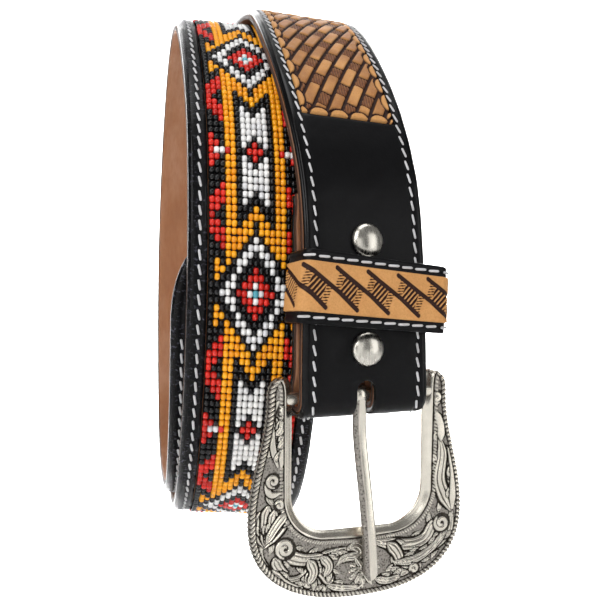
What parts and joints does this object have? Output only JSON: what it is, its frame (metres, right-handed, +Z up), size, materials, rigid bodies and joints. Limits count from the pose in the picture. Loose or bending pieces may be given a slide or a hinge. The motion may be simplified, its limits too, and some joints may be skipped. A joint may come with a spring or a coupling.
{
  "type": "beaded belt",
  "caption": "Western leather belt with a beaded centre band, tooled inlays and an engraved buckle, rolled up and hung from the top of the roll.",
  "frame": {"origin": "top of the roll's inner face at the strap's middle line, where a peg carries the rolled belt", "axes": "+Z up, +X along the roll's axis towards the buckle end, -Y towards the viewer, the side that shows the buckle"},
  "size_m": [0.0891, 0.1759, 0.1797],
  "materials": {
    "black_leather": "semi-gloss with painted edges",
    "tan_lining": "matte",
    "tooled_leather": "satin, tooled and antiqued",
    "seed_beads": "glossy opaque seed beads",
    "antique_nickel": "polished with dark recesses",
    "bright_nickel": "polished"
  },
  "bodies": {
    "strap": {"strap_face": "black_leather", "strap_lining": "tan_lining", "bead_panel": "seed_beads", "tooled_inlay_buckle": "tooled_leather", "tooled_inlay_tip": "tooled_leather", "keeper_band": "black_leather", "keeper_inlay": "tooled_leather", "rivet_lower": "bright_nickel", "rivet_upper": "bright_nickel"},
    "buckle": {"buckle_frame": "antique_nickel"},
    "tongue": {"prong": "bright_nickel"}
  },
  "joints": [
    {"name": "buckle_swing", "type": "hinge", "parent": "strap", "child": "buckle", "pos_m": [0.03565, -0.08331, -0.11269], "axis": [-0.9663, -0.2435, -0.0836], "range_deg": [0, 50]},
    {"name": "prong_swing", "type": "hinge", "parent": "buckle", "child": "tongue", "pos_m": [0.03565, -0.08331, -0.11269], "axis": [-0.9663, -0.2435, -0.0836], "range_deg": [0, 45]}
  ]
}
